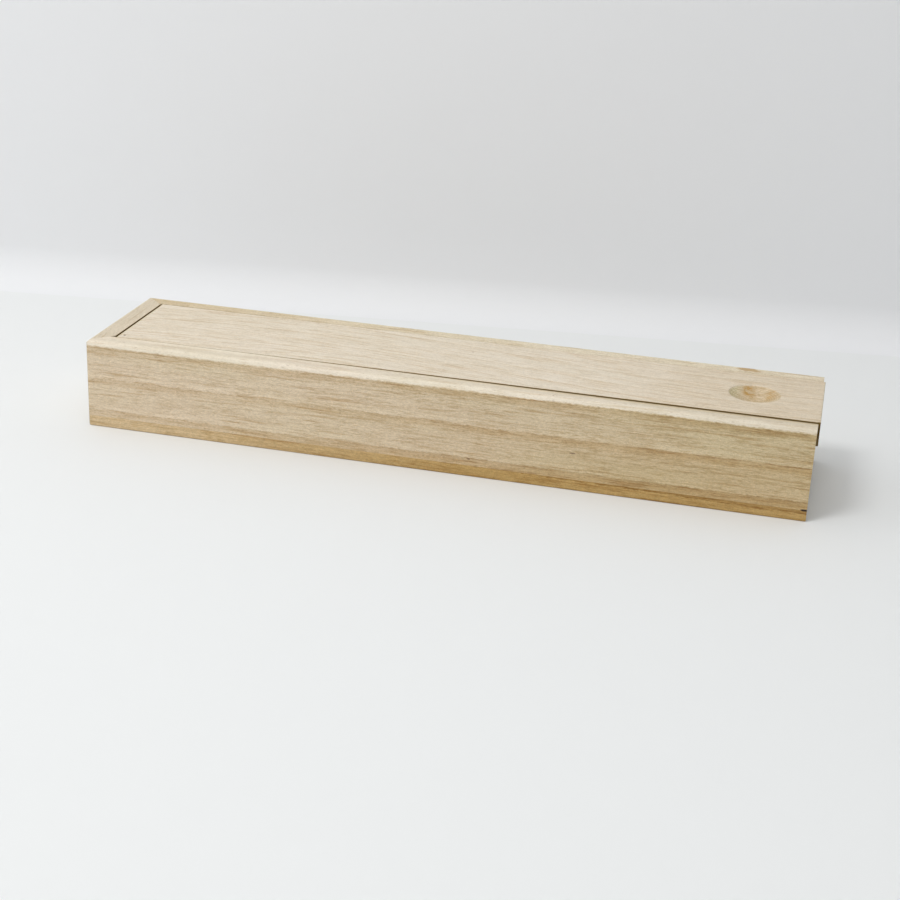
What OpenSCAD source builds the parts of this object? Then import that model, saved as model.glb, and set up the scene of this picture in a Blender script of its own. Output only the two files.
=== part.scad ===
// Wooden box with a sliding lid, for papers and keepsakes. Millimetres.
//
// Two side boards and an end board mitred to them carry one groove round three sides of the
// box. A lower end board closes the fourth side, and the bottom board is glued on under all
// four. The lid is rebated on three sides, and the tongue that is left slides in the groove,
// so the lid draws out over the low end board.
//
// X runs along the box to the end where the lid comes out, Y from the front to the back and
// Z up. The origin is on the underside, in the middle of the box with its lid at rest.

/* [Box] */
// Length over the boards
box_l = 300; // [180:1:420]
// Width over the side boards
box_w = 66; // [50:0.5:140]
// Height of the side boards' tops
box_h = 38; // [26:0.5:80]

/* [Boards] */
// Thickness of the side boards
wall_t = 8; // [6:0.25:12]
// Thickness of the mitred end board
end_t = 9.5; // [6:0.25:12]
// Thickness of the low end board
low_end_t = 8; // [4:0.25:14]
// Thickness of the bottom board
bottom_t = 4.75; // [3:0.25:8]
// Thickness of the lid
lid_t = 8.5; // [7.5:0.25:12]

/* [Groove] */
// Depth of the groove in the boards
groove_d = 4; // [2:0.25:5]
// Height of the lip over the groove
lip_h = 4.4; // [2.5:0.1:5.5]

/* [Lid fit] */
// Gap between the lid and the lip on each side, at the middle of the lid
side_gap = 0.5; // [0.5:0.05:0.8]
// Difference in that gap between the lid's two ends, as the lid lies a little askew in its play
gap_spread = 0.8; // [0:0.1:0.8]
// Gap between the tongue and the bottom of the groove, sideways
tongue_end_gap = 1; // [0.4:0.1:1.4]
// Gap over the tongue, under the lip
tongue_top_gap = 0.3; // [0.1:0.05:0.6]
// Gap under the tongue, over the floor of the groove
tongue_floor_gap = 0.2; // [0.1:0.05:0.35]
// Gap between the lid and the low end board
low_end_gap = 0.4; // [0.35:0.05:0.8]
// Height of the lid's top over the side boards' tops
lid_proud = 0.1; // [0:0.05:0.6]
// How far the lid stands drawn out at rest
lid_drawn = 0.8; // [0.2:0.1:1.5]

/* [Finger scoop] */
// Radius of the ball cutter
scoop_r = 20; // [11:0.5:30]
// Depth of the scoop
scoop_d = 3; // [1.5:0.1:4]
// Distance from the lid's free end to the middle of the scoop
scoop_in = 27; // [16:0.5:60]

/* [Edges] */
// Radius of the round on the outer top edge of the three grooved boards
top_round = 2.3; // [1:0.1:3.5]
// Radius of the upright corners at the mitred end
corner_round = 1.2; // [0.4:0.1:2.5]
// Radius of the bottom board's lower edge at the mitred end
heel_round = 1.5; // [0.4:0.1:2.5]
// Radius of the bottom board's other lower edges
foot_round = 0.6; // [0.2:0.1:1.5]
// Radius of the lip's inner edge
lip_round = 0.3; // [0.2:0.05:1]
// Radius of the edges of the lid and its tongue
lid_round = 0.3; // [0.2:0.05:0.6]
// Radius of the low end board's top edges
low_end_round = 0.5; // [0.2:0.05:1]

/* [Hidden] */
$fn = 96;

// Heights over the underside
lid_top = box_h + lid_proud;
lid_under = lid_top - lid_t;
groove_roof = box_h - lip_h;
groove_floor = lid_under - tongue_floor_gap;
tongue_top = groove_roof - tongue_top_gap;
low_end_top = lid_under - low_end_gap;

// Distances along the box from the outer face of the mitred end board
tongue_reach = groove_d - tongue_end_gap;
shoulder_x = end_t + lid_drawn;
tongue_x = shoulder_x - tongue_reach;
free_end_x = box_l + lid_drawn;
lid_mid_x = (shoulder_x + free_end_x) / 2;

// Distances across the box from the outer face of the front side board
lid_y = wall_t + side_gap;
tongue_y = wall_t - tongue_reach;

// Angle at which the lid lies askew
lid_turn = asin(gap_spread / (free_end_x - shoulder_x));

// Length by which a cutter passes what it cuts
past = 1;

// Moves what is measured from the box's front corner at the mitred end to its place round
// the origin
module in_place() {
    translate([-free_end_x / 2, -box_w / 2, 0]) children();
}

// 2D waste that a round of radius r takes off a square corner at p. The outline lies in the
// quadrant that starts at turn: 0 is right and up, 90 left and up, 180 left and down, 270
// right and down.
module corner_waste(p, turn, r) {
    translate(p) rotate(turn) difference() {
        translate([-past, -past]) square(past + r);
        translate([r, r]) circle(r);
    }
}

// Extrudes a 2D section, drawn as [across, up], along the box from x0 to x1
module along_box(x0, x1) {
    translate([x0, 0, 0]) rotate([90, 0, 90]) linear_extrude(x1 - x0) children();
}

// Extrudes a 2D section, drawn as [along, up], over the whole width of the box
module across_box() {
    translate([0, box_w + past, 0]) rotate([90, 0, 0])
        linear_extrude(box_w + 2 * past) children();
}

// Section of a grooved board of thickness t, its outer face at 0: the groove under the lip,
// the round on the outer top edge and the softened inner edge of the lip
module grooved_section(t) {
    difference() {
        translate([0, bottom_t]) square([t, box_h - bottom_t]);
        translate([t - groove_d, groove_floor])
            square([groove_d + past, groove_roof - groove_floor]);
        corner_waste([0, box_h], 270, top_round);
        corner_waste([t, box_h], 180, lip_round);
    }
}

// Plan of the box, its two corners at the mitred end rounded
module plan() {
    difference() {
        square([box_l, box_w]);
        corner_waste([0, 0], 0, corner_round);
        corner_waste([0, box_w], 270, corner_round);
    }
}

// Everything between the two mitres, which run in at 45 degrees from the corners
module between_mitres() {
    translate([0, 0, -past]) linear_extrude(box_h + 2 * past)
        polygon([[-past, -past], [box_w / 2, box_w / 2], [-past, box_w + past]]);
}

// A side board with its mitre
module side_board() {
    intersection() {
        difference() {
            along_box(0, box_l) grooved_section(wall_t);
            between_mitres();
        }
        linear_extrude(box_h) plan();
    }
}

module front_side() {
    color("#c3b08d") in_place() side_board();
}

module back_side() {
    color("#cab791") in_place() translate([0, box_w, 0]) mirror([0, 1, 0]) side_board();
}

module closed_end() {
    color("#d6c8ab") in_place()
        intersection() {
            across_box() grooved_section(end_t);
            between_mitres();
            linear_extrude(box_h) plan();
        }
}

module open_end() {
    color("#b09f80") in_place()
        intersection() {
            translate([box_l - low_end_t, wall_t, bottom_t])
                cube([low_end_t, box_w - 2 * wall_t, low_end_top - bottom_t]);
            across_box() difference() {
                square([box_l, low_end_top]);
                corner_waste([box_l - low_end_t, low_end_top], 270, low_end_round);
                corner_waste([box_l, low_end_top], 180, low_end_round);
            }
        }
}

module bottom_board() {
    color("#bda67c") in_place()
        intersection() {
            linear_extrude(bottom_t) plan();
            along_box(0, box_l) difference() {
                square([box_w, bottom_t]);
                corner_waste([0, 0], 0, foot_round);
                corner_waste([box_w, 0], 90, foot_round);
            }
            across_box() difference() {
                square([box_l, bottom_t]);
                corner_waste([0, 0], 0, heel_round);
                corner_waste([box_l, 0], 90, foot_round);
            }
        }
}

// Section of the lid across the box: its full body between the lips, and the tongue below
module lid_section() {
    difference() {
        union() {
            translate([lid_y, lid_under]) square([box_w - 2 * lid_y, lid_t]);
            translate([tongue_y, lid_under])
                square([box_w - 2 * tongue_y, tongue_top - lid_under]);
        }
        for (side = [0, 1]) translate([side * box_w, 0]) mirror([side, 0]) {
            corner_waste([lid_y, lid_top], 270, lid_round);
            corner_waste([tongue_y, tongue_top], 270, lid_round);
            corner_waste([tongue_y, lid_under], 0, lid_round);
        }
    }
}

// What is cut off the ends of the lid, seen from the front: the rebate at the mitred end, and
// the edges
module lid_end_waste() {
    translate([tongue_x - past, tongue_top]) square([shoulder_x - tongue_x + past, lid_t]);
    corner_waste([shoulder_x, lid_top], 270, lid_round);
    corner_waste([tongue_x, tongue_top], 270, lid_round);
    corner_waste([tongue_x, lid_under], 0, lid_round);
    corner_waste([free_end_x, lid_top], 180, lid_round);
    corner_waste([free_end_x, lid_under], 90, lid_round);
}

// Turns the lid about its middle, so that the gap at the front widens towards the free end
module askew() {
    translate([lid_mid_x, box_w / 2, 0]) rotate([0, 0, lid_turn])
        translate([-lid_mid_x, -box_w / 2, 0]) children();
}

module lid() {
    color("#dccfb6") in_place() askew()
        difference() {
            along_box(tongue_x, free_end_x) lid_section();
            across_box() lid_end_waste();
            translate([free_end_x - scoop_in, box_w / 2, lid_top + scoop_r - scoop_d])
                sphere(scoop_r);
        }
}

front_side();
back_side();
closed_end();
open_end();
bottom_board();
lid();
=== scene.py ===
import math

import bpy
from mathutils import Matrix, Vector


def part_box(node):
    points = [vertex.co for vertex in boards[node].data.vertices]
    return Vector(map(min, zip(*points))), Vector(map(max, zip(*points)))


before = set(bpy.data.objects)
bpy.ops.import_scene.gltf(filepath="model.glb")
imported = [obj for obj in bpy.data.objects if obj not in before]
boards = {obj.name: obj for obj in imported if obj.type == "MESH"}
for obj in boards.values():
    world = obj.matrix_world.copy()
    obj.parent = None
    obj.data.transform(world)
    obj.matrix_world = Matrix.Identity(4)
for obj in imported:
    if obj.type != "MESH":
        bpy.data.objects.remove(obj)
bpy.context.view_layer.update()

# The long box lies along X, its lid drawing out to +X, and its front faces -Y. The scene is in
# metres, and lengths in the dictionaries of the wood and the boards are in millimetres.

millimetre = 0.001


def inMetres(lengths):
    # one length in millimetres, or a tuple of them
    if isinstance(lengths, tuple):
        return tuple(length * millimetre for length in lengths)
    return lengths * millimetre


def wire(tree, value, socket):
    # a socket is linked, anything else is set on the input itself
    if isinstance(value, bpy.types.NodeSocket):
        tree.links.new(value, socket)
    else:
        socket.default_value = value


def calc(tree, operation, *values, clamp=False):
    node = tree.nodes.new("ShaderNodeMath")
    node.operation = operation
    node.use_clamp = clamp
    for value, socket in zip(values, node.inputs):
        wire(tree, value, socket)
    return node.outputs[0]


def product(tree, value, *factors):
    for factor in factors:
        value = calc(tree, "MULTIPLY", value, factor)
    return value


def vectorCalc(tree, operation, *values):
    node = tree.nodes.new("ShaderNodeVectorMath")
    node.operation = operation
    for value, socket in zip(values, node.inputs):
        wire(tree, value, socket)
    return node.outputs["Value" if operation in ("LENGTH", "DOT_PRODUCT") else "Vector"]


def scaledVector(tree, vector, scale):
    node = tree.nodes.new("ShaderNodeVectorMath")
    node.operation = "SCALE"
    wire(tree, vector, node.inputs[0])
    wire(tree, scale, node.inputs["Scale"])
    return node.outputs["Vector"]


def splitVector(tree, vector):
    node = tree.nodes.new("ShaderNodeSeparateXYZ")
    wire(tree, vector, node.inputs[0])
    return node.outputs


def joinVector(tree, x, y, z):
    node = tree.nodes.new("ShaderNodeCombineXYZ")
    for value, socket in zip((x, y, z), node.inputs):
        wire(tree, value, socket)
    return node.outputs[0]


def remap(tree, value, low, high, toLow=0.0, toHigh=1.0, smooth=True):
    node = tree.nodes.new("ShaderNodeMapRange")
    node.interpolation_type = "SMOOTHSTEP" if smooth else "LINEAR"
    for given, socket in zip((value, low, high, toLow, toHigh), node.inputs):
        wire(tree, given, socket)
    return node.outputs[0]


def noise(tree, vector, detail, roughness=0.5):
    # the vector is already in cells of the noise
    node = tree.nodes.new("ShaderNodeTexNoise")
    wire(tree, vector, node.inputs["Vector"])
    node.inputs["Scale"].default_value = 1.0
    node.inputs["Detail"].default_value = detail
    node.inputs["Roughness"].default_value = roughness
    return node.outputs["Fac"]


def pointNoise(tree, point, cellsPerMetre, shift, detail, roughness=0.5):
    cells = vectorCalc(tree, "ADD", vectorCalc(tree, "MULTIPLY", point, cellsPerMetre), shift)
    return noise(tree, cells, detail, roughness)


def mixColour(tree, share, first, second, blend="MIX"):
    node = tree.nodes.new("ShaderNodeMix")
    node.data_type = "RGBA"
    node.blend_type = blend
    wire(tree, share, node.inputs["Factor"])
    colours = [socket for socket in node.inputs if socket.type == "RGBA"]
    for value, socket in zip((first, second), colours):
        wire(tree, value if isinstance(value, bpy.types.NodeSocket) else (*value, 1.0), socket)
    return next(socket for socket in node.outputs if socket.type == "RGBA")


def tinted(tree, share, colour, tint):
    return mixColour(tree, share, colour, tint, "MULTIPLY")


def newGroup(name, inputs, outputs):
    # inputs and outputs are name and kind, a kind being Float, Vector or Color
    group = bpy.data.node_groups.new(name, "ShaderNodeTree")
    for label, kind in inputs:
        group.interface.new_socket(label, in_out="INPUT", socket_type="NodeSocket" + kind)
    for label, kind in outputs:
        group.interface.new_socket(label, in_out="OUTPUT", socket_type="NodeSocket" + kind)
    given = group.nodes.new("NodeGroupInput").outputs
    made = group.nodes.new("NodeGroupOutput").inputs
    return group, given, made


def useGroup(tree, group, **values):
    # a name such as ringWidth stands for the input Ring Width
    node = tree.nodes.new("ShaderNodeGroup")
    node.node_tree = group
    sockets = {socket.name.replace(" ", "").lower(): socket for socket in node.inputs}
    for label, value in values.items():
        wire(tree, value, sockets[label.lower()])
    return node.outputs


# in all the dictionaries, a span is where an effect begins and where it is full
ringFigure = {
    # length and width of the cells that each unevenness comes in, and its detail
    "longWaves": ((75, 22), 2.0),
    "shortWaves": ((14, 4), 3.0),
    "teeth": ((1.7, 0.7), 1.0),        # the ragged edge of a ring
    "patches": ((30, 4), 4.0),         # where a band is weaker
    "breaks": ((4.5, 0.6), 2.0),       # in the first edge of a band
    "shortWaveShare": 0.35,            # of the waviness
    "toothHeight": 1.1,
    "patchSpan": (-0.25, 0.2),
    "patchLeast": 0.45,
    "breakSpan": (-0.06, 0.14),
    "yearsPerSwing": 4,                # good and bad years come round so often
    "lateSpan": (0.72, 0.95),          # in shares of a ring
    "bandRise": (0.0, 0.10),           # in shares of the band, as are the next three
    "bandFall": (0.4, 1.0),
    "lineRise": (0.0, 0.06),
    "lineFall": (0.10, 0.32),
    "streaksPerMetre": 950.0,          # across the rings
    "streakTurn": 45.0,                # and along them, per metre
    "streakDetail": 3.0,
    "streakRoughness": 0.6,
    "seedTurn": 1.7,
}


def makeGrowthRings():
    # Rings round a pith line that runs near the grain axis. Band is the brown early wood at the
    # start of a ring and Line its broken first edge, Late the paler wood at its end, and Streak
    # the long faint lines inside it.
    group, given, made = newGroup(
        "growth rings",
        [("Point", "Vector"), ("Pith", "Vector"), ("Lean", "Vector"), ("First Ring", "Float"),
         ("Ring Width", "Float"), ("Uneven", "Float"), ("Uneven Turn", "Float"),
         ("Band Share", "Float"), ("Waviness", "Float"),
         ("Bend", "Vector"), ("Bend Length", "Float"), ("Bend Start", "Float"),
         ("Streak Length", "Float"), ("Seed", "Float")],
        [("Band", "Float"), ("Line", "Float"), ("Late", "Float"), ("Streak", "Float"), ("Ring", "Float")])
    figure = ringFigure
    point = given["Point"]
    along = splitVector(group, point)[0]
    shift = joinVector(group, given["Seed"], product(group, given["Seed"], figure["seedTurn"]), 0.0)

    # the pith line leans, and bends like a slow sine
    travelled = product(group, calc(group, "SUBTRACT", along, given["Bend Start"]), 2.0 * math.pi)
    swing = calc(group, "SINE", calc(group, "DIVIDE", travelled, given["Bend Length"]))
    strayed = vectorCalc(group, "ADD", scaledVector(group, given["Lean"], along),
                         scaledVector(group, given["Bend"], swing))
    pithHere = vectorCalc(group, "ADD", given["Pith"], strayed)
    fromPith = vectorCalc(group, "MULTIPLY", vectorCalc(group, "SUBTRACT", point, pithHere), (0, 1, 1))
    radius = vectorCalc(group, "LENGTH", fromPith)

    def wander(name):
        # noise either side of nought
        cell, detail = figure[name]
        cellLength, cellWidth = inMetres(cell)
        cellsPerMetre = (1 / cellLength, 1 / cellWidth, 1 / cellWidth)
        return calc(group, "SUBTRACT", pointNoise(group, point, cellsPerMetre, shift, detail), 0.5)

    longWaves = product(group, wander("longWaves"), given["Waviness"])
    shortHeight = product(group, given["Waviness"], figure["shortWaveShare"])
    shortWaves = product(group, wander("shortWaves"), shortHeight)
    teeth = product(group, wander("teeth"), inMetres(figure["toothHeight"]))
    wavy = calc(group, "ADD", radius, calc(group, "ADD", longWaves, shortWaves))
    toothed = calc(group, "ADD", wavy, teeth)
    pastFirst = calc(group, "SUBTRACT", toothed, given["First Ring"])
    ring = calc(group, "DIVIDE", pastFirst, given["Ring Width"])

    # the ring widths swing with the years
    turn = product(group, ring, 2 * math.pi / figure["yearsPerSwing"])
    years = calc(group, "SINE", calc(group, "ADD", turn, given["Uneven Turn"]))
    ring = calc(group, "SUBTRACT", ring, product(group, years, given["Uneven"]))
    wire(group, ring, made["Ring"])
    age = calc(group, "FRACT", ring)
    wire(group, remap(group, age, *figure["lateSpan"]), made["Late"])

    phase = calc(group, "DIVIDE", age, given["Band Share"])
    rise = remap(group, phase, *figure["bandRise"])
    fall = remap(group, phase, *figure["bandFall"], 1.0, 0.0)
    patchy = remap(group, wander("patches"), *figure["patchSpan"], figure["patchLeast"], 1.0)
    wire(group, product(group, rise, fall, patchy), made["Band"])
    broken = remap(group, wander("breaks"), *figure["breakSpan"])
    rise = remap(group, phase, *figure["lineRise"])
    fall = remap(group, phase, *figure["lineFall"], 1.0, 0.0)
    wire(group, product(group, rise, fall, broken), made["Line"])

    # long lines that follow the rings
    x, y, z = splitVector(group, fromPith)
    lamella = joinVector(group, calc(group, "DIVIDE", along, given["Streak Length"]),
                         product(group, wavy, figure["streaksPerMetre"]),
                         product(group, calc(group, "SUBTRACT", y, z), figure["streakTurn"]))
    lamella = vectorCalc(group, "ADD", lamella, shift)
    wire(group, noise(group, lamella, figure["streakDetail"], figure["streakRoughness"]), made["Streak"])
    return group


fibreFigure = {
    # cells to the metre along and across the grain, and detail
    "coarse": ((70, 1500), 3.0),
    "fine": ((340, 2600), 2.0),
    "fuzz": ((900, 2300), 1.5),
    "dust": ((2500, 2700), 1.0),
    "drift": ((13, 60), 1.5),
    "mottle": ((90, 260), 3.0),
    "chatter": ((420, 30), 2.0),
    "coarseShare": 0.46,
    "roughness": 0.55,
    "seedTurn": 2.3,
}


def makeWoodFibres():
    # Fibre is the fine lines along the grain, Grit the sanded fuzz on them, Drift the slow change
    # of tint over a board, Mottle small soft patches, and Chatter the ripple that a planer leaves
    group, given, made = newGroup(
        "wood fibres",
        [("Point", "Vector"), ("Seed", "Float")],
        [("Fibre", "Float"), ("Grit", "Float"), ("Drift", "Float"), ("Mottle", "Float"),
         ("Chatter", "Float")])
    figure = fibreFigure
    shift = joinVector(group, given["Seed"], product(group, given["Seed"], figure["seedTurn"]), 0.0)

    def stretched(name):
        (along, across), detail = figure[name]
        cellsPerMetre = (along, across, across)
        return pointNoise(group, given["Point"], cellsPerMetre, shift, detail, figure["roughness"])

    coarse = product(group, stretched("coarse"), figure["coarseShare"])
    fine = product(group, stretched("fine"), 1.0 - figure["coarseShare"])
    wire(group, calc(group, "ADD", coarse, fine), made["Fibre"])
    grit = product(group, calc(group, "ADD", stretched("fuzz"), stretched("dust")), 0.5)
    wire(group, grit, made["Grit"])
    wire(group, stretched("drift"), made["Drift"])
    wire(group, stretched("mottle"), made["Mottle"])
    wire(group, stretched("chatter"), made["Chatter"])
    return group


poreFigure = {
    "reach": (0.24, 0.5),              # least and greatest, in cells
    "core": 0.45,                      # share of a pore's reach that is fully dark
    "softChoice": 0.06,                # lets some pores be only half open
    "sideShift": 0.37,                 # of the cells, in cells
}


def makeOpenPores():
    # Vessels cut along their length, which show as short brown dashes, and as dots on end grain.
    # More of them are open where Density is higher.
    group, given, made = newGroup(
        "open pores",
        [("Point", "Vector"), ("Density", "Float"), ("Length", "Float"), ("Width", "Float"),
         ("Seed", "Float")],
        [("Pores", "Float")])
    figure = poreFigure
    size = joinVector(group, given["Length"], given["Width"], given["Width"])
    shift = joinVector(group, given["Seed"], figure["sideShift"], given["Seed"])
    cells = vectorCalc(group, "ADD", vectorCalc(group, "DIVIDE", given["Point"], size), shift)
    voronoi = group.nodes.new("ShaderNodeTexVoronoi")
    wire(group, cells, voronoi.inputs["Vector"])
    voronoi.inputs["Scale"].default_value = 1.0
    openChance, reachChance, spare = splitVector(group, voronoi.outputs["Color"])
    chosen = calc(group, "SUBTRACT", given["Density"], openChance)
    opened = remap(group, chosen, 0.0, figure["softChoice"])
    reach = remap(group, reachChance, 0.0, 1.0, *figure["reach"], smooth=False)
    core = product(group, reach, figure["core"])
    inside = remap(group, voronoi.outputs["Distance"], core, reach, 1.0, 0.0)
    wire(group, product(group, opened, inside), made["Pores"])
    return group


edgeFigure = {
    "cutSpan": (0.12, 0.85),           # how squarely a face cuts the grain, 1 being right across it
    "cellsPerMetre": (350, 350, 350),  # the unevenness of the rubbed edges
    "detail": 3.0,
    "noiseSpan": (0.3, 0.7),
    "reachRange": (0.3, 1.6),
}


def makeEndGrain():
    # how far a face is cut across the grain
    group, given, made = newGroup("end grain", [("Grain", "Vector")], [("End", "Float")])
    normal = group.nodes.new("ShaderNodeTexCoord").outputs["Normal"]
    facing = calc(group, "ABSOLUTE", vectorCalc(group, "DOT_PRODUCT", normal, given["Grain"]))
    wire(group, remap(group, facing, *edgeFigure["cutSpan"]), made["End"])
    return group


def makeHandledEdges():
    # nearness to a board's outer edges: the second smallest distance to its faces
    group, given, made = newGroup(
        "handled edges",
        [("Point", "Vector"), ("Low", "Vector"), ("High", "Vector"), ("Reach", "Float"),
         ("Seed", "Float")],
        [("Edge", "Float")])
    figure = edgeFigure
    overLow = vectorCalc(group, "ABSOLUTE", vectorCalc(group, "SUBTRACT", given["Point"], given["Low"]))
    underHigh = vectorCalc(group, "ABSOLUTE", vectorCalc(group, "SUBTRACT", given["High"], given["Point"]))
    x, y, z = splitVector(group, vectorCalc(group, "MINIMUM", overLow, underHigh))
    middle = calc(group, "MAXIMUM", calc(group, "MINIMUM", x, y),
                  calc(group, "MINIMUM", calc(group, "MAXIMUM", x, y), z))
    shift = joinVector(group, given["Seed"], 0.0, given["Seed"])
    uneven = pointNoise(group, given["Point"], figure["cellsPerMetre"], shift, figure["detail"])
    uneven = remap(group, uneven, *figure["noiseSpan"], *figure["reachRange"])
    reach = product(group, given["Reach"], uneven)
    wire(group, remap(group, middle, 0.0, reach, 1.0, 0.0), made["Edge"])
    return group


markFigure = {
    "cell": 0.5,                       # size of the raggedness, as a share of the mark's
    "detail": 3.0,
    "outline": (0.55, 1.0),            # where the mark starts to fade and where it ends
}


def makeSmallMark():
    # one small mark at a place, its outline a little ragged
    group, given, made = newGroup(
        "small mark",
        [("Point", "Vector"), ("Place", "Vector"), ("Size", "Vector"), ("Raggedness", "Float")],
        [("Mark", "Float")])
    shape = markFigure
    fromPlace = vectorCalc(group, "SUBTRACT", given["Point"], given["Place"])
    away = vectorCalc(group, "LENGTH", vectorCalc(group, "DIVIDE", fromPlace, given["Size"]))
    cell = vectorCalc(group, "MULTIPLY", given["Size"], (shape["cell"], shape["cell"], shape["cell"]))
    uneven = noise(group, vectorCalc(group, "DIVIDE", given["Point"], cell), shape["detail"])
    ragged = product(group, calc(group, "SUBTRACT", uneven, 0.5), given["Raggedness"])
    mark = remap(group, calc(group, "ADD", away, ragged), *shape["outline"], 1.0, 0.0)
    wire(group, mark, made["Mark"])
    return group


# the painted shade in the lid's gaps
gapShadeFigure = {
    "leastOpening": 0.2,               # the painted shade's share at its start
    "core": 0.4,                       # share of the reach that is fully dark
    "stain": (2.5, 0.7),               # span of the painted shade beside the gap, in shares of the reach
}


def makePaintedGapShade():
    # Painted shade on the cut faces in the lid's gap and on their arrises. Plane is how far the face lies
    # along Facing, and Reach how far the painted shade comes out of the gap. It gains upwards from Low to
    # High, and grows along the box from Start to End. The second output is warmer painted shade beside it.
    group, given, made = newGroup(
        "dark seam",
        [("Point", "Vector"), ("Facing", "Vector"), ("Plane", "Float"), ("Reach", "Float"),
         ("Low", "Float"), ("High", "Float"), ("Start", "Float"), ("End", "Float")],
        [("Seam", "Float"), ("Stain", "Float")])
    towards = vectorCalc(group, "DOT_PRODUCT", given["Point"], given["Facing"])
    depth = calc(group, "SUBTRACT", towards, given["Plane"])
    along, across, height = splitVector(group, given["Point"])
    upward = remap(group, height, given["Low"], given["High"])
    opening = remap(group, along, given["Start"], given["End"], gapShadeFigure["leastOpening"], 1.0)
    reach = product(group, given["Reach"], opening, -1.0)
    besideShadeFrom, besideShadeTo = gapShadeFigure["stain"]
    onFace = remap(group, depth, reach, product(group, reach, gapShadeFigure["core"]))
    beside = remap(group, depth, product(group, reach, besideShadeFrom), product(group, reach, besideShadeTo))
    shown = product(group, upward, opening)
    wire(group, product(group, onFace, shown), made["Seam"])
    wire(group, product(group, beside, shown), made["Stain"])
    return group


def makeBoardRegion():
    # what lies past two soft borders, one along the box and one upwards
    group, given, made = newGroup(
        "board region",
        [("Point", "Vector"), ("Along From", "Float"), ("Along To", "Float"), ("Up From", "Float"),
         ("Up To", "Float")],
        [("Region", "Float")])
    along, across, height = splitVector(group, given["Point"])
    past = remap(group, along, given["Along From"], given["Along To"])
    above = remap(group, height, given["Up From"], given["Up To"])
    wire(group, product(group, past, above), made["Region"])
    return group


growthRings = makeGrowthRings()
woodFibres = makeWoodFibres()
openPores = makeOpenPores()
endGrain = makeEndGrain()
handledEdges = makeHandledEdges()
smallMark = makeSmallMark()
paintedGapShade = makePaintedGapShade()
boardRegion = makeBoardRegion()
print("wood groups made:", len(bpy.data.node_groups))


# what a board has unless its own dictionary says otherwise
plainBoard = {
    "grain": "X",                      # the axis that the fibres run along
    "lean": (0, 0, 0),                 # how the pith line strays from that axis, per length
    "bend": (0, 0, 0),                 # how far it swings out on top of that, like a slow sine
    "bendLength": 400,                 # of one whole swing
    "bendStart": 0.0,
    "uneven": (0.0, 0.0),              # how much the ring widths swing, in rings, and from where
    "bandShare": 0.3,                  # share of a ring that is brown early wood
    "waviness": 1.6,
    "bandStrength": 0.6,
    "bandGrowth": (1.0, 1.0),          # how strong the bands are at the grain's two ends
    "lineStrength": 0.9,               # of the first edge of a ring
    "lateStrength": 0.6,
    "palerSide": None,                 # colour of the wood inside the first ring
    "faintRing": None,                 # a ring number at which a faint line lies
    "farTint": None,                   # a tint, and the span along the grain over which it comes
    "streakStrength": 0.4,
    "streakLength": 31,
    "streakSpan": (0.36, 0.66),        # narrower and higher makes the long lines thinner
    "hairlineStrength": 0.7,           # of the long thin brown lines
    "fibreStrength": 0.85,
    "fibreGrowth": (1.0, 1.0),         # how strong the fibres are at the grain's two ends
    "grit": 0.18,
    "driftStrength": 0.35,
    "dashStrength": 0.6,               # of the longer, wider vessels
    "poreStrength": 0.55,
    "poreLength": 2.0,
    "poreWidth": 0.32,
    "poreDensity": (0.10, 0.8),        # open share of the vessels, between bands and in them
    "endDarkness": 0.8,                # how far end grain shows its own colours
    "edgeGrey": 0.22,
    "marks": [],
    "scoop": None,
    "shades": [],
    # painted shade in the lid's gaps
    "seams": [],
    "arris": 0.12,
    "arrisAngle": 40,                  # degrees, the least angle between faces that is softened
}

# what all the boards share
woodFinish = {
    "palerEdge": (-0.03, 0.0),         # in rings
    "palerStreaks": 0.45,              # share of the streaks that shows on the paler side
    "palerCalm": 0.5,                  # share of the fibres and grit that is missing there
    "faintRingWidth": 0.1,
    "faintRingTint": (0.89, 0.875, 0.86),
    "lateTint": (1.07, 1.075, 1.09),
    "driftSpan": (0.32, 0.68),
    "fibreSpan": (0.58, 0.38),
    "fibreTint": (0.76, 0.69, 0.57),
    "patchSpan": (0.32, 0.62),         # the fibres come and go in soft patches
    "patchStrength": (0.45, 1.15),
    "hairlineSpan": (0.55, 0.68),
    "hairlineTint": (0.79, 0.67, 0.51),
    "mottleSpan": (0.45, 0.75),
    "mottleStrength": 0.25,
    "mottleTint": (0.88, 0.86, 0.82),
    "gritSpan": (0.32, 0.68),
    "dashLength": 4.0,                 # times the pores' own, as is the width
    "dashWidth": 2.1,
    "dashDensity": (0.09, 0.5),
    "dashSeed": 4.0,
    "lineTint": (0.64, 0.52, 0.35),
    "endBand": 0.5,
    "endPores": 0.8,
    "endFibreSpan": (0.42, 0.6),
    "endFibreStrength": 0.35,
    "endFibreTint": (0.82, 0.80, 0.76),
    "edgeReach": 0.9,
    "edgeTint": (0.80, 0.74, 0.66),
    # painted shade on the wood beside the lid's gaps
    "stainTint": (0.90, 0.83, 0.66),
    "roughness": 0.62,
    "bandRoughness": 0.07,             # added on the bands, as are the next two
    "poreRoughness": 0.12,
    "endRoughness": 0.14,
    "edgePolish": 0.08,                # taken off where the edges are rubbed
    "specular": 0.35,
    "fibreRelief": 0.5,
    "poreRelief": 0.9,
    "bandRelief": 0.25,
    "chatterRelief": 0.25,
    "reliefStrength": 0.5,
    "reliefDepth": 0.12,
    "weldReach": 0.001,
    "arrisSegments": 2,
}


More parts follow.
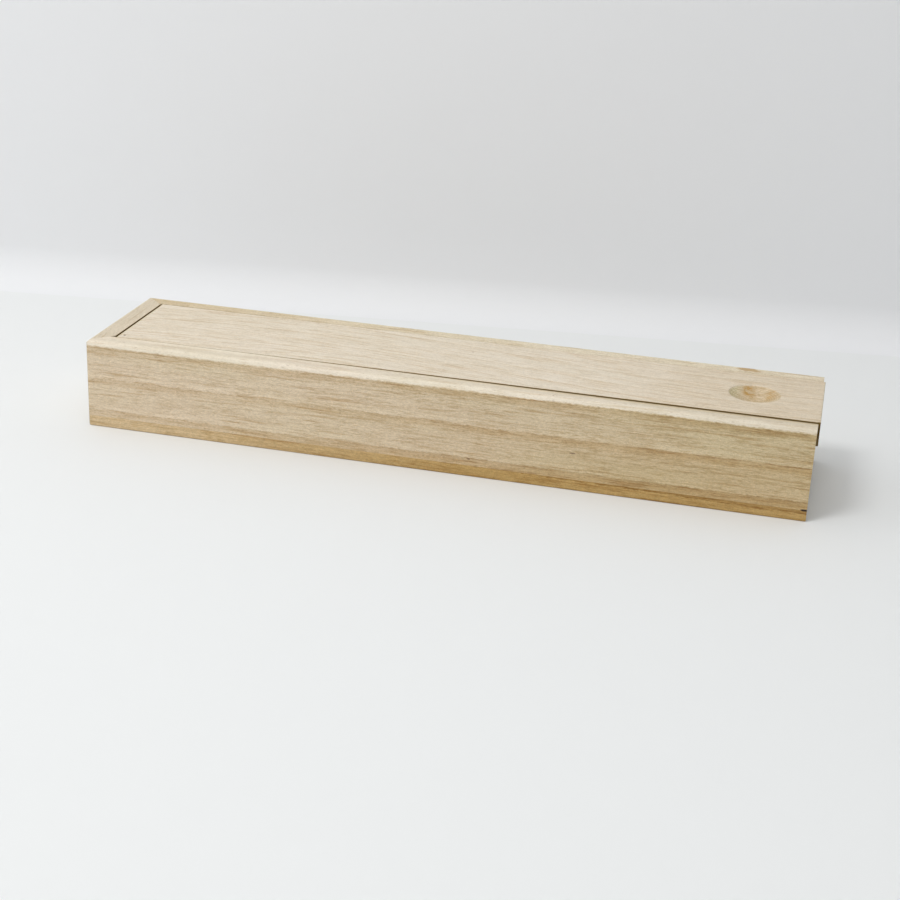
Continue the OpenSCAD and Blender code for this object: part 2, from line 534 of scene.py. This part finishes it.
def boardMasks(tree, place, own):
    # everything that the board's colour, roughness and relief are mixed from
    shared = woodFinish
    low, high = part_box(own["node"])
    point = place
    grainAxis = (1, 0, 0)
    if own["grain"] == "Y":
        # the point with its first axis along the grain
        x, y, z = splitVector(tree, place)
        point = joinVector(tree, y, x, z)
        grainAxis = (0, 1, 0)
    along = splitVector(tree, point)[0]
    grainSpan = [corner[grainAxis.index(1)] for corner in (low, high)]

    firstRing = inMetres(math.dist(own["pith"], own["ringThrough"]))
    unevenness, unevenTurn = own["uneven"]
    rings = useGroup(tree, growthRings, point=point, pith=(0, *inMetres(own["pith"])), lean=own["lean"],
                     firstRing=firstRing, ringWidth=inMetres(own["ringWidth"]), uneven=unevenness,
                     unevenTurn=unevenTurn, bandShare=own["bandShare"], waviness=inMetres(own["waviness"]),
                     bend=inMetres(own["bend"]), bendLength=inMetres(own["bendLength"]),
                     bendStart=inMetres(own["bendStart"]), streakLength=inMetres(own["streakLength"]),
                     seed=own["seed"])
    fibres = useGroup(tree, woodFibres, point=point, seed=own["seed"])

    def vessels(density, length, width, seed):
        openShare = remap(tree, rings["Band"], 0.0, 1.0, *density, smooth=False)
        return useGroup(tree, openPores, point=point, density=openShare, length=inMetres(length),
                        width=inMetres(width), seed=seed)["Pores"]

    masks = {output.name.lower(): output for output in (*rings, *fibres)}
    masks["pores"] = vessels(own["poreDensity"], own["poreLength"], own["poreWidth"], own["seed"])
    masks["dashes"] = vessels(shared["dashDensity"], shared["dashLength"] * own["poreLength"],
                              shared["dashWidth"] * own["poreWidth"], own["seed"] + shared["dashSeed"])
    masks["end"] = useGroup(tree, endGrain, grain=grainAxis)["End"]
    masks["edge"] = useGroup(tree, handledEdges, point=place, low=low, high=high,
                             reach=inMetres(shared["edgeReach"]), seed=own["seed"])["Edge"]
    masks["along"] = along
    masks["bandGrowth"] = remap(tree, along, *grainSpan, *own["bandGrowth"], smooth=False)
    masks["fibreGrowth"] = remap(tree, along, *grainSpan, *own["fibreGrowth"], smooth=False)

    # the paler side has no bands, and less of the fibres and grit
    masks["brownSide"] = 1.0
    masks["calm"] = 1.0
    if own["palerSide"]:
        masks["palerSide"] = remap(tree, masks["ring"], *shared["palerEdge"], 1.0, 0.0)
        masks["brownSide"] = calc(tree, "SUBTRACT", 1.0, masks["palerSide"])
        masks["calm"] = calc(tree, "SUBTRACT", 1.0, product(tree, masks["palerSide"], shared["palerCalm"]))
    return masks


def figuredColour(tree, own, masks):
    # streaks and the paler side, the brown bands, then the slow changes of tint
    shared = woodFinish
    streak = remap(tree, masks["streak"], *own["streakSpan"])
    colour = mixColour(tree, product(tree, streak, own["streakStrength"]), own["pale"], own["tan"])
    if own["palerSide"]:
        fewer = product(tree, streak, own["streakStrength"] * shared["palerStreaks"])
        paler = mixColour(tree, fewer, own["palerSide"], own["pale"])
        colour = mixColour(tree, masks["palerSide"], colour, paler)
    band = product(tree, masks["band"], masks["brownSide"], masks["bandGrowth"], own["bandStrength"])
    colour = mixColour(tree, band, colour, own["brown"])
    if own["faintRing"]:
        apart = calc(tree, "ABSOLUTE", calc(tree, "SUBTRACT", masks["ring"], own["faintRing"]))
        faint = remap(tree, apart, 0.0, shared["faintRingWidth"], 1.0, 0.0)
        colour = tinted(tree, faint, colour, shared["faintRingTint"])
    # on the front, the bottom board and the lid this tint is painted shade of the light falling off
    # towards the open end
    if own["farTint"]:
        tint, span = own["farTint"]
        share = product(tree, remap(tree, masks["along"], *inMetres(span)), masks["brownSide"])
        colour = tinted(tree, share, colour, tint)
    colour = tinted(tree, product(tree, masks["late"], own["lateStrength"]), colour, shared["lateTint"])
    drift = product(tree, remap(tree, masks["drift"], *shared["driftSpan"]), own["driftStrength"])
    return tinted(tree, drift, colour, own["driftTint"])


def sandedColour(tree, own, masks, colour):
    # fine fibres, hairlines, soft patches, grit, and the vessels that are cut open
    shared = woodFinish
    fibre = remap(tree, masks["fibre"], *shared["fibreSpan"])
    patches = remap(tree, masks["mottle"], *shared["patchSpan"], *shared["patchStrength"])
    fibre = product(tree, fibre, own["fibreStrength"], masks["fibreGrowth"], masks["calm"], patches)
    colour = tinted(tree, fibre, colour, shared["fibreTint"])
    hairline = remap(tree, masks["streak"], *shared["hairlineSpan"])
    hairline = product(tree, hairline, own["hairlineStrength"], masks["calm"])
    colour = tinted(tree, hairline, colour, shared["hairlineTint"])
    mottle = product(tree, remap(tree, masks["mottle"], *shared["mottleSpan"]), shared["mottleStrength"])
    colour = tinted(tree, mottle, colour, shared["mottleTint"])
    gritRange = (1.0 - own["grit"], 1.0 + own["grit"])
    grit = remap(tree, masks["grit"], *shared["gritSpan"], *gritRange, smooth=False)
    colour = tinted(tree, masks["calm"], colour, grit)
    dash = product(tree, masks["dashes"], own["dashStrength"], masks["calm"])
    colour = mixColour(tree, dash, colour, own["brown"])
    line = product(tree, masks["line"], own["lineStrength"], masks["bandGrowth"])
    colour = tinted(tree, line, colour, shared["lineTint"])
    return mixColour(tree, product(tree, masks["pores"], own["poreStrength"]), colour, own["poreColour"])


def endAndEdgeColour(tree, own, masks, colour):
    # end grain drinks the light: darker and greyer, its vessels open
    shared = woodFinish
    end = mixColour(tree, product(tree, masks["band"], shared["endBand"]), own["endPale"], own["endBrown"])
    end = mixColour(tree, product(tree, masks["pores"], shared["endPores"]), end, own["poreColour"])
    fibre = product(tree, remap(tree, masks["fibre"], *shared["endFibreSpan"]), shared["endFibreStrength"])
    end = tinted(tree, fibre, end, shared["endFibreTint"])
    colour = mixColour(tree, product(tree, masks["end"], own["endDarkness"]), colour, end)

    # a little grey where hands have gone over the edges
    return tinted(tree, product(tree, masks["edge"], own["edgeGrey"]), colour, shared["edgeTint"])


def boardWood(own):
    # Returns the material and what it is built from: its tree and shader, the place in the part's
    # frame, the brown side, and the colour and relief, to which the board adds before closeWood
    shared = woodFinish
    material = bpy.data.materials.new(own["material"])
    material.use_nodes = True
    tree = material.node_tree
    shader = tree.nodes["Principled BSDF"]
    shader.inputs["Specular IOR Level"].default_value = shared["specular"]
    place = tree.nodes.new("ShaderNodeTexCoord").outputs["Object"]
    masks = boardMasks(tree, place, own)
    colour = figuredColour(tree, own, masks)
    colour = sandedColour(tree, own, masks, colour)
    colour = endAndEdgeColour(tree, own, masks, colour)

    rough = calc(tree, "ADD", shared["roughness"], product(tree, masks["band"], shared["bandRoughness"]))
    rough = calc(tree, "ADD", rough, product(tree, masks["pores"], shared["poreRoughness"]))
    rough = calc(tree, "ADD", rough, product(tree, masks["end"], shared["endRoughness"]))
    rough = calc(tree, "SUBTRACT", rough, product(tree, masks["edge"], shared["edgePolish"]), clamp=True)
    wire(tree, rough, shader.inputs["Roughness"])

    relief = product(tree, masks["fibre"], shared["fibreRelief"])
    relief = calc(tree, "SUBTRACT", relief, product(tree, masks["pores"], shared["poreRelief"]))
    relief = calc(tree, "SUBTRACT", relief, product(tree, masks["band"], shared["bandRelief"]))
    relief = calc(tree, "ADD", relief, product(tree, masks["chatter"], shared["chatterRelief"]))
    return {"material": material, "tree": tree, "shader": shader, "place": place,
            "brownSide": masks["brownSide"], "colour": colour, "relief": relief}


def addMark(wood, at, size, tint, strength, depth=0.0, raggedness=0.6):
    # depth is in parts of the relief
    tree = wood["tree"]
    mark = useGroup(tree, smallMark, point=wood["place"], place=inMetres(at), size=inMetres(size),
                    raggedness=raggedness)["Mark"]
    wood["colour"] = mixColour(tree, product(tree, mark, strength), wood["colour"], tint)
    if depth:
        wood["relief"] = calc(tree, "SUBTRACT", wood["relief"], product(tree, mark, depth))


def addShade(wood, tint, along, upward, brownSideOnly=False):
    # a soft change of tint past two borders: one along the box and one upwards
    tree = wood["tree"]
    alongFrom, alongTo = inMetres(along)
    upFrom, upTo = inMetres(upward)
    region = useGroup(tree, boardRegion, point=wood["place"], alongFrom=alongFrom, alongTo=alongTo,
                      upFrom=upFrom, upTo=upTo)["Region"]
    region = product(tree, region, wood["brownSide"] if brownSideOnly else 1.0)
    wood["colour"] = tinted(tree, region, wood["colour"], tint)


def addGapShade(wood, facing, plane, reach, heights, run=(-300, -290), strength=0.94,
            tint=(0.15, 0.09, 0.015)):
    # Paints shade into a gap round the lid. heights and run are the spans over which it gains. The run
    # given here ends short of the box, so a gap shade without its own is the same all along.
    tree = wood["tree"]
    low, high = inMetres(heights)
    start, end = inMetres(run)
    gapShade = useGroup(tree, paintedGapShade, point=wood["place"], facing=facing, plane=inMetres(plane),
                    reach=inMetres(reach), low=low, high=high, start=start, end=end)
    # the warmer painted shade beside the gap, then the dark painted shade in it
    stain = product(tree, gapShade["Stain"], strength)
    wood["colour"] = tinted(tree, stain, wood["colour"], woodFinish["stainTint"])
    dark = product(tree, gapShade["Seam"], strength)
    wood["colour"] = mixColour(tree, dark, wood["colour"], tint)


def addScoop(wood, dish):
    tree = wood["tree"]
    x, y, z = splitVector(tree, wood["place"])
    middle = inMetres(dish["middle"])
    flat = joinVector(tree, x, y, 0.0)
    away = vectorCalc(tree, "LENGTH", vectorCalc(tree, "SUBTRACT", flat, (*middle, 0.0)))
    rim = inMetres((dish["radius"] - dish["softRim"], dish["radius"]))
    within = remap(tree, away, *rim, 1.0, 0.0)
    dished = product(tree, within, remap(tree, z, *inMetres(dish["rimHeights"])))

    # the tints of its sides
    frontFrom, frontTo = (middle[1] + inMetres(offset) for offset in dish["frontSpan"])
    leftFrom, leftTo = (middle[0] + inMetres(offset) for offset in dish["leftSpan"])
    tint = mixColour(tree, remap(tree, y, frontFrom, frontTo), dish["rightTint"], dish["frontTint"])
    tint = mixColour(tree, remap(tree, x, leftFrom, leftTo), dish["leftTint"], tint)
    wood["colour"] = tinted(tree, dished, wood["colour"], tint)

    # the golden figures, broken into specks
    specks = vectorCalc(tree, "MULTIPLY", wood["place"], dish["specksPerMetre"])
    specks = noise(tree, specks, dish["speckDetail"])
    for centre, halfSize, share in dish["figures"]:
        fromCentre = vectorCalc(tree, "SUBTRACT", flat, (*inMetres(centre), 0.0))
        inHalves = vectorCalc(tree, "DIVIDE", fromCentre, (*inMetres(halfSize), 1.0))
        gone = vectorCalc(tree, "LENGTH", inHalves)
        figure = remap(tree, gone, *dish["figureOutline"], 1.0, 0.0)
        broken = remap(tree, specks, *dish["speckSpan"], *dish["speckStrength"])
        figure = product(tree, figure, broken, dished, share)
        wood["colour"] = mixColour(tree, figure, wood["colour"], dish["figureTint"])
    mottle = remap(tree, specks, *dish["mottleSpan"])
    mottle = mixColour(tree, mottle, dish["mottleDark"], dish["mottlePale"])
    wood["colour"] = tinted(tree, dished, wood["colour"], mottle)

    # rings that the cutter left
    turns = calc(tree, "SINE", product(tree, away, 2 * math.pi / inMetres(dish["cutterStep"])))
    turns = product(tree, turns, dished)
    wood["relief"] = calc(tree, "ADD", wood["relief"], product(tree, turns, dish["cutterRelief"]))
    shade = remap(tree, turns, -1.0, 1.0, *dish["cutterShade"], smooth=False)
    wood["colour"] = tinted(tree, 1.0, wood["colour"], shade)


def closeWood(wood, board):
    tree = wood["tree"]
    wire(tree, wood["colour"], wood["shader"].inputs["Base Color"])
    bump = tree.nodes.new("ShaderNodeBump")
    bump.inputs["Strength"].default_value = woodFinish["reliefStrength"]
    bump.inputs["Distance"].default_value = inMetres(woodFinish["reliefDepth"])
    wire(tree, wood["relief"], bump.inputs["Height"])
    wire(tree, bump.outputs[0], wood["shader"].inputs["Normal"])
    board.data.materials[0] = wood["material"]


def softenArrises(board, width, leastAngle):
    # the sanded arris of every board, over faces that are first joined at their shared corners
    weld = board.modifiers.new("weld", "WELD")
    weld.merge_threshold = inMetres(woodFinish["weldReach"])
    bevel = board.modifiers.new("arris", "BEVEL")
    bevel.width = inMetres(width)
    bevel.segments = woodFinish["arrisSegments"]
    bevel.limit_method = "ANGLE"
    bevel.angle_limit = math.radians(leastAngle)
    board.modifiers.new("shade", "WEIGHTED_NORMAL")


def dressBoard(settings):
    own = {**plainBoard, **settings}
    wood = boardWood(own)
    for mark in own["marks"]:
        addMark(wood, **mark)
    if own["scoop"]:
        addScoop(wood, own["scoop"])
    for shade in own["shades"]:
        addShade(wood, **shade)
    # painted shade in the lid's gaps
    for gapShade in own["seams"]:
        addGapShade(wood, **gapShade)
    board = boards[own["node"]]
    closeWood(wood, board)
    softenArrises(board, own["arris"], own["arrisAngle"])
    print("dressed:", own["node"])


# a small chip where the front side and the bottom board end, painted nearly black as the shade inside it,
# which both of them share
footChipShade = {
    "size": (1.9, 1.5, 0.5),
    "tint": (0.03, 0.015, 0.01),
    "strength": 1.0,
    "depth": 1.5,
    "raggedness": 0.2,
}

# The first ring passes through ringThrough, round the pith: both are places across the grain and
# up. A mark lies at a place in the part's frame.
frontSide = {
    "node": "front_side",
    "material": "side wood front",
    "seed": 3.1,
    "pith": (20, 200),
    "lean": (0, 0, 0.002),
    "ringThrough": (-33, 35.92),
    "ringWidth": 13.3,
    "bandShare": 0.29,
    "waviness": 1.5,
    "bandStrength": 0.66,
    "bandGrowth": (0.55, 0.95),
    "fibreGrowth": (0.7, 1.1),
    "lineStrength": 0.6,
    "grit": 0.17,
    "edgeGrey": 0.08,
    "faintRing": -0.24,
    # the lip above the first ring is paler and cooler than the face: partly the wood, partly painted light
    # standing in for warm bounce light that reaches the face but not the lip
    "palerSide": (0.815, 0.727, 0.60),
    "pale": (0.752, 0.624, 0.462),
    "tan": (0.632, 0.503, 0.35),
    "brown": (0.565, 0.39, 0.195),
    # darker and warmer towards the open end: painted shade, the light falling off along the box
    "farTint": ((0.88, 0.82, 0.66), (-80, 140)),
    "driftTint": (0.94, 0.97, 0.88),
    "poreColour": (0.30, 0.19, 0.09),
    "endPale": (0.43, 0.36, 0.24),
    "endBrown": (0.30, 0.24, 0.14),
    "marks": [
        # two specks on the face, the chip painted nearly black as shade, and a speck on the rounded edge
        {"at": (14.9, -33.0, 7.55), "size": (0.9, 1.0, 0.35), "tint": (0.16, 0.09, 0.05),
         "strength": 0.8, "depth": 0.6},
        {"at": (56.9, -33.0, 15.8), "size": (1.6, 1.0, 0.35), "tint": (0.2, 0.12, 0.07),
         "strength": 0.8, "depth": 0.4},
        {"at": (148.6, -33.0, 4.8), **footChipShade},
        {"at": (47.2, -30.45, 38.0), "size": (0.5, 0.35, 0.6), "tint": (0.3, 0.2, 0.12),
         "strength": 0.7, "depth": 0.4},
    ],
    "shades": [
        # cooler wood above the middle and under it, the warm foot, and painted shade on the top edge's far
        # end, where the light falls off as on the face below
        {"tint": (1.03, 1.085, 1.17), "along": (-60, 120), "upward": (20.5, 23.5), "brownSideOnly": True},
        {"tint": (0.985, 1.0, 1.01), "along": (-60, 120), "upward": (20.5, 17.0)},
        {"tint": (0.95, 0.90, 0.82), "along": (-150, 20), "upward": (8.0, 6.0)},
        {"tint": (0.94, 0.935, 0.93), "along": (20, 130), "upward": (35.4, 36.2)},
    ],
    "seams": [
        # painted shade on the lip's inner face in the lid's gap, growing towards the open end
        {"facing": (0, 1, 0), "plane": -25.0, "reach": 1.2, "heights": (33.0, 34.0),
         "run": (-125, 85), "strength": 0.96, "tint": (0.11, 0.062, 0.006)},
    ],
}

backSide = {
    "node": "back_side",
    "material": "side wood back",
    "seed": 11.4,
    "pith": (-50, 190),
    "lean": (0, 0.012, -0.010),
    "ringThrough": (33, 33.5),
    "ringWidth": 11.5,
    "waviness": 1.8,
    "bandStrength": 0.45,
    "pale": (0.685, 0.57, 0.385),
    "tan": (0.60, 0.475, 0.30),
    "brown": (0.46, 0.32, 0.165),
    "farTint": ((1.15, 1.24, 1.45), (-160, 60)),
    "driftTint": (0.95, 0.95, 0.88),
    "poreColour": (0.33, 0.2, 0.09),
    "endPale": (0.43, 0.36, 0.24),
    "endBrown": (0.30, 0.24, 0.14),
    "marks": [
        # the brown patch behind the scoop
        {"at": (119.0, 29.0, 38.0), "size": (6.0, 2.6, 1.5), "tint": (0.48, 0.32, 0.15),
         "strength": 0.9, "raggedness": 1.4},
    ],
}

closedEnd = {
    "node": "closed_end",
    "material": "end wood mitred",
    "grain": "Y",
    "seed": 5.7,
    "pith": (-300, -50),
    "ringThrough": (-150.4, 30),
    "ringWidth": 14.0,
    "bandStrength": 0.35,
    "streakStrength": 0.3,
    "fibreStrength": 0.42,
    "grit": 0.13,
    "dashStrength": 0.25,
    "pale": (0.685, 0.595, 0.465),
    "tan": (0.62, 0.52, 0.38),
    "brown": (0.50, 0.37, 0.21),
    "driftTint": (0.95, 0.95, 0.9),
    "poreColour": (0.34, 0.22, 0.1),
    "endPale": (0.44, 0.37, 0.25),
    "endBrown": (0.31, 0.25, 0.15),
    "seams": [
        # painted shade on the lip's inner face in the lid's gap
        {"facing": (1, 0, 0), "plane": -140.9, "reach": 0.14, "heights": (33.0, 34.0)},
    ],
}

openEnd = {
    "node": "open_end",
    "material": "end wood low",
    "grain": "Y",
    "seed": 8.2,
    "pith": (300, 130),
    "ringThrough": (149.6, 15.5),
    "ringWidth": 15.0,
    "bandStrength": 0.35,
    "pale": (0.66, 0.56, 0.42),
    "tan": (0.58, 0.48, 0.33),
    "brown": (0.47, 0.36, 0.21),
    "driftTint": (0.95, 0.95, 0.9),
    "poreColour": (0.34, 0.22, 0.1),
    "endPale": (0.43, 0.36, 0.24),
    "endBrown": (0.30, 0.24, 0.14),
}

bottomBoard = {
    "node": "bottom_board",
    "material": "bottom wood",
    "seed": 14.9,
    "pith": (20, -70),
    "lean": (0, 0.05, 0.03),
    "ringThrough": (-33, 4.5),
    "ringWidth": 7.5,
    "bandShare": 0.4,
    "waviness": 2.2,
    "streakStrength": 0.55,
    # more ochre than the wood, and darker and warmer towards the open end: partly painted light, standing
    # in for warm light bounced onto this board and for the shade along its far end
    "pale": (0.70, 0.54, 0.33),
    "tan": (0.59, 0.435, 0.24),
    "brown": (0.46, 0.30, 0.125),
    "farTint": ((0.795, 0.685, 0.43), (-150, 30)),
    "driftTint": (0.95, 0.94, 0.88),
    "poreColour": (0.34, 0.21, 0.09),
    "endPale": (0.42, 0.36, 0.24),
    "endBrown": (0.30, 0.24, 0.14),
    "marks": [
        # the chip at its foot, painted nearly black as shade
        {"at": (148.6, -33.0, 4.7), **footChipShade},
    ],
    "shades": [
        # takes the painted bounce light and shade back off its upper face, which the box's inside shows
        {"tint": (1.20, 1.36, 1.85), "along": (-150, 30), "upward": (4.6, 4.74)},
    ],
}

scoop = {
    "middle": (123.4, 0.0),            # along and across the box
    "radius": 10.6,
    "softRim": 0.5,
    "rimHeights": (38.08, 37.8),
    "leftTint": (0.94, 0.96, 0.82),    # the steep side away from the lid's end
    "leftSpan": (-9, -4),              # from the middle, where it gives way to the others
    "rightTint": (0.90, 0.845, 0.745),
    "frontTint": (0.97, 0.96, 0.88),   # the side towards the box's front
    "frontSpan": (0.5, -5),            # from the middle, where it takes over
    "specksPerMetre": (560, 900, 900),
    "speckDetail": 3.0,
    "figures": [                       # place, half size and share of the golden figures laid open
        ((120.6, 6.6), (3.0, 4.6), 1.0),
        ((122.6, 3.0), (1.8, 3.0), 0.8),
        ((129.6, 3.4), (2.4, 6.2), 0.65),
    ],
    "figureOutline": (0.4, 1.1),       # where they start to fade and where they end, of the half size
    "figureTint": (0.45, 0.265, 0.075),
    "speckSpan": (0.44, 0.56),
    "speckStrength": (0.1, 1.0),
    "mottleSpan": (0.35, 0.65),
    "mottleDark": (0.90, 0.86, 0.78),
    "mottlePale": (1.08, 1.09, 1.11),
    "cutterStep": 0.9,
    "cutterRelief": 0.25,
    "cutterShade": (0.92, 1.07),
}

# how far the lid lies askew in its play, across per along
lidTilt = 0.00276

lidBoard = {
    "node": "lid",
    "material": "lid wood",
    "seed": 1.6,
    "pith": (160, -40),
    "ringThrough": (11.65, 38.1),
    "ringWidth": 10.0,
    "uneven": (0.16, -0.64),
    "bend": (0, -10.5, 0),
    "bendStart": 25.4,
    "bandShare": 0.17,
    "waviness": 1.5,
    "bandStrength": 0.24,
    "lineStrength": 0.5,
    "lateStrength": 0.3,
    "streakStrength": 0.6,
    "streakLength": 22,
    "streakSpan": (0.42, 0.68),
    "hairlineStrength": 0.45,
    "fibreStrength": 0.5,
    "grit": 0.14,
    "driftStrength": 0.25,
    "dashStrength": 0.4,
    "poreStrength": 0.35,
    "poreDensity": (0.06, 0.5),
    "pale": (0.775, 0.692, 0.572),
    "tan": (0.71, 0.592, 0.43),
    "brown": (0.62, 0.47, 0.26),
    # darker towards the open end: painted shade, the light falling off along the box
    "farTint": ((0.935, 0.905, 0.86), (40, 130)),
    "driftTint": (0.94, 0.94, 0.9),
    "poreColour": (0.40, 0.29, 0.17),
    "endPale": (0.47, 0.40, 0.28),
    "endBrown": (0.34, 0.28, 0.18),
    "marks": [
        # specks near the front corner at the closed end, and in the middle
        {"at": (-137.7, -21.9, 38.1), "size": (0.7, 0.7, 0.6), "tint": (0.17, 0.10, 0.05),
         "strength": 1.0, "depth": 0.6},
        {"at": (5.3, 9.6, 38.1), "size": (0.5, 0.5, 0.6), "tint": (0.35, 0.24, 0.15),
         "strength": 0.6, "depth": 0.3},
    ],
    "scoop": scoop,
    "seams": [
        # painted shade in the gaps round the lid: on its front edge all along and then at its very end,
        # which stands out past the front side in shadow, on the back edge, and on the closed end's
        {"facing": (lidTilt, -1, 0), "plane": 24.5, "reach": 0.18, "heights": (31.0, 37.9),
         "run": (-105, 0)},
        {"facing": (lidTilt, -1, 0), "plane": 24.5, "reach": 0.38, "heights": (20.0, 21.0),
         "run": (148.9, 149.5)},
        {"facing": (-lidTilt, 1, 0), "plane": 24.5, "reach": 0.2, "heights": (31.0, 36.5),
         "strength": 0.6},
        {"facing": (-1, -lidTilt, 0), "plane": 140.1, "reach": 0.32, "heights": (31.0, 37.9)},
    ],
    "arris": 0.2,
    "arrisAngle": 25,
}

for settings in (frontSide, backSide, closedEnd, openEnd, bottomBoard, lidBoard):
    dressBoard(settings)


studio = {
    "floorColour": (0.815, 0.825, 0.82),
    "wallColour": (0.835, 0.84, 0.85),
    "paperRoughness": 0.9,
    "paperSpecular": 0.1,
    "floorSize": 6.0,                  # metres, as are all lengths from here on
    "wallBase": (-0.0501, 0.1772),     # a point where the wall would meet the floor
    "wallTurn": 7.864,                 # degrees from X
    "wallHeight": 1.6,
    "wallWidth": 5.0,
    "wallLift": 0.0002,                # keeps the cove's foot clear of the floor
    "coveRadius": 0.02,
    "coveSteps": 16,
    "airColour": (0.97, 0.985, 1.0),
    "airLight": 0.30,
}


def paperMaterial(name, colour, seeThroughBack=False):
    material = bpy.data.materials.new(name)
    material.use_nodes = True
    tree = material.node_tree
    shader = tree.nodes["Principled BSDF"]
    shader.inputs["Base Color"].default_value = (*colour, 1.0)
    shader.inputs["Roughness"].default_value = studio["paperRoughness"]
    shader.inputs["Specular IOR Level"].default_value = studio["paperSpecular"]
    if seeThroughBack:
        back = tree.nodes.new("ShaderNodeNewGeometry").outputs["Backfacing"]
        clear = tree.nodes.new("ShaderNodeBsdfTransparent")
        mix = tree.nodes.new("ShaderNodeMixShader")
        wire(tree, back, mix.inputs[0])
        wire(tree, shader.outputs[0], mix.inputs[1])
        wire(tree, clear.outputs[0], mix.inputs[2])
        wire(tree, mix.outputs[0], tree.nodes["Material Output"].inputs[0])
    return material


def makeFloor():
    half = studio["floorSize"] / 2
    corners = [(-half, -half, 0), (half, -half, 0), (half, half, 0), (-half, half, 0)]
    mesh = bpy.data.meshes.new("floor")
    mesh.from_pydata(corners, [], [(0, 1, 2, 3)])
    mesh.materials.append(paperMaterial("floor paper", studio["floorColour"]))
    return bpy.data.objects.new("floor", mesh)


def makeWall():
    # its section is a cove out of the floor and then straight up; its back is see-through, so that
    # views from behind show the box
    radius = studio["coveRadius"]
    steps = studio["coveSteps"]
    turns = [math.radians(90 * step / steps) for step in range(steps + 1)]
    section = [(-radius + radius * math.sin(turn), radius - radius * math.cos(turn)) for turn in turns]
    section.append((0.0, studio["wallHeight"]))
    half = studio["wallWidth"] / 2
    corners = [(side * half, back, up + studio["wallLift"])
               for back, up in section for side in (-1, 1)]
    faces = [(2 * i, 2 * i + 1, 2 * i + 3, 2 * i + 2) for i in range(len(section) - 1)]
    mesh = bpy.data.meshes.new("backdrop")
    mesh.from_pydata(corners, [], faces)
    mesh.shade_smooth()
    mesh.materials.append(paperMaterial("backdrop paper", studio["wallColour"], seeThroughBack=True))
    wall = bpy.data.objects.new("backdrop", mesh)
    wall.location = (*studio["wallBase"], 0)
    wall.rotation_euler = (0, 0, math.radians(studio["wallTurn"]))
    return wall


def makeStage():
    for piece in (makeFloor(), makeWall()):
        bpy.context.scene.collection.objects.link(piece)


lamps = {
    # light is how bright the lamp alone makes a white face that is turned to it, 1 being white
    "key": {"towards": (-0.33, -0.44, 0.84), "distance": 1.6, "size": 0.5, "light": 0.27},
    "left window": {"towards": (-0.85, -0.42, 0.42), "distance": 1.6, "size": 2.0, "light": 0.39},
    "overhead": {"towards": (0.1, -0.42, 1.0), "distance": 1.6, "size": 1.5, "light": 0.24},
}


def makeLamps():
    for name, settings in lamps.items():
        towards = Vector(settings["towards"])
        lamp = bpy.data.lights.new(name, "AREA")
        lamp.shape = "DISK"
        lamp.size = settings["size"]
        lamp.energy = settings["light"] * (math.pi * settings["distance"]) ** 2
        holder = bpy.data.objects.new(name, lamp)
        holder.location = towards.normalized() * settings["distance"]
        holder.rotation_euler = towards.to_track_quat("Z", "Y").to_euler()
        bpy.context.scene.collection.objects.link(holder)


def makeAir():
    world = bpy.data.worlds.new("studio")
    world.use_nodes = True
    background = world.node_tree.nodes["Background"]
    background.inputs["Color"].default_value = (*studio["airColour"], 1.0)
    background.inputs["Strength"].default_value = studio["airLight"]
    bpy.context.scene.world = world


cameraSettings = {
    "eye": (0.148937, -0.648414, 0.266169),
    "heading": 12.971,                 # degrees, from looking along +Y towards -X
    "downTilt": 22.051,
    "roll": 2.616,
    "lens": 67.72,                     # lens and sensor in millimetres, as Blender has them
    "sensor": 36.0,
    "nearest": 0.01,
}


def makeCamera():
    view = cameraSettings
    camera = bpy.data.cameras.new("camera")
    camera.lens = view["lens"]
    camera.sensor_width = view["sensor"]
    camera.clip_start = view["nearest"]
    holder = bpy.data.objects.new("camera", camera)
    turn = (Matrix.Rotation(math.radians(view["heading"]), 4, "Z")
            @ Matrix.Rotation(math.radians(90 - view["downTilt"]), 4, "X")
            @ Matrix.Rotation(math.radians(view["roll"]), 4, "Z"))
    holder.matrix_world = Matrix.Translation(view["eye"]) @ turn
    bpy.context.scene.collection.objects.link(holder)
    bpy.context.scene.camera = holder


makeStage()
makeLamps()
makeAir()
makeCamera()
bpy.context.scene.view_settings.view_transform = "Standard"
print("studio set")
